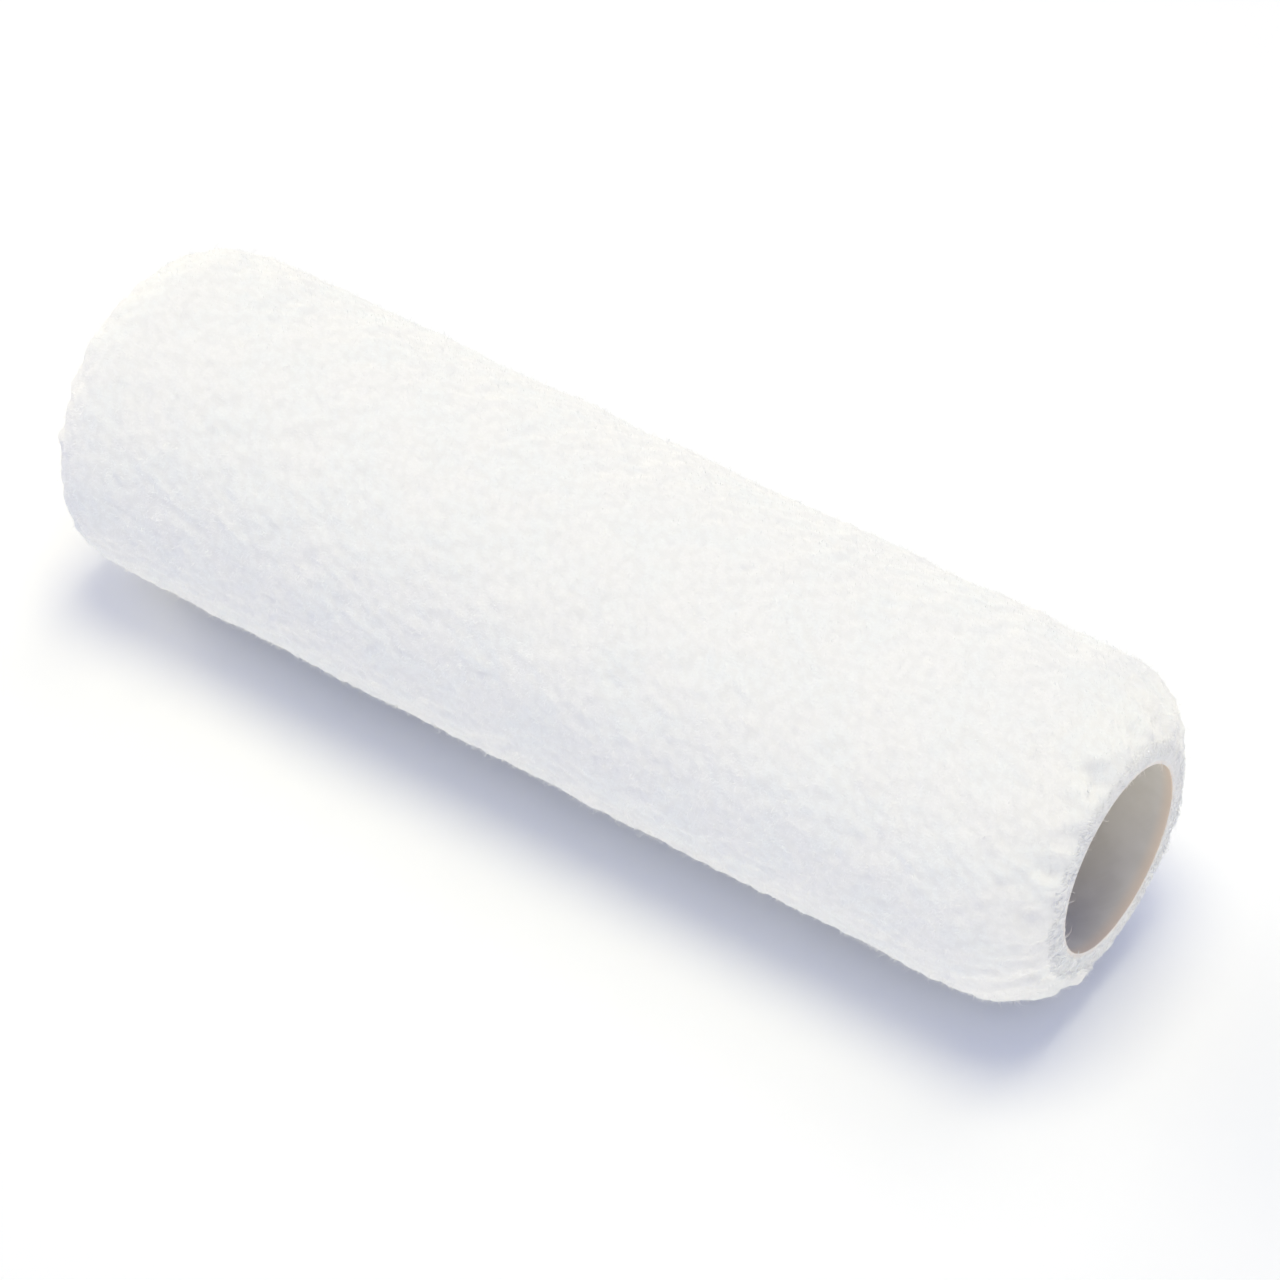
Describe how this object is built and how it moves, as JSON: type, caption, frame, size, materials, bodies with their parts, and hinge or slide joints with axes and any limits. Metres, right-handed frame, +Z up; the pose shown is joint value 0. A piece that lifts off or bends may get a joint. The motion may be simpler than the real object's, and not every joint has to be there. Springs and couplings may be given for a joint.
{
  "type": "paint roller cover",
  "caption": "White deep-pile paint roller cover with rounded ends: knitted pile fabric bonded around a thin spiral-wound plastic core tube with an open bore.",
  "frame": {"origin": "on the floor under the middle of the cover as it lies on its side", "axes": "+X along the core's axis, +Z up, +Y across"},
  "size_m": [0.2292, 0.0698, 0.0693],
  "materials": {
    "core_plastic": "smooth matte polypropylene, pale cream",
    "adhesive": "thin bonded film, warm beige",
    "backing_knit": "tight knitted ground cloth",
    "pile_fibre": "white, soft, crimped polyester pile"
  },
  "bodies": {
    "root": {"core_inner_ply": "core_plastic", "core_outer_ply": "core_plastic", "adhesive_film": "adhesive", "fabric_backing": "backing_knit", "pile": "pile_fibre"}
  },
  "joints": []
}
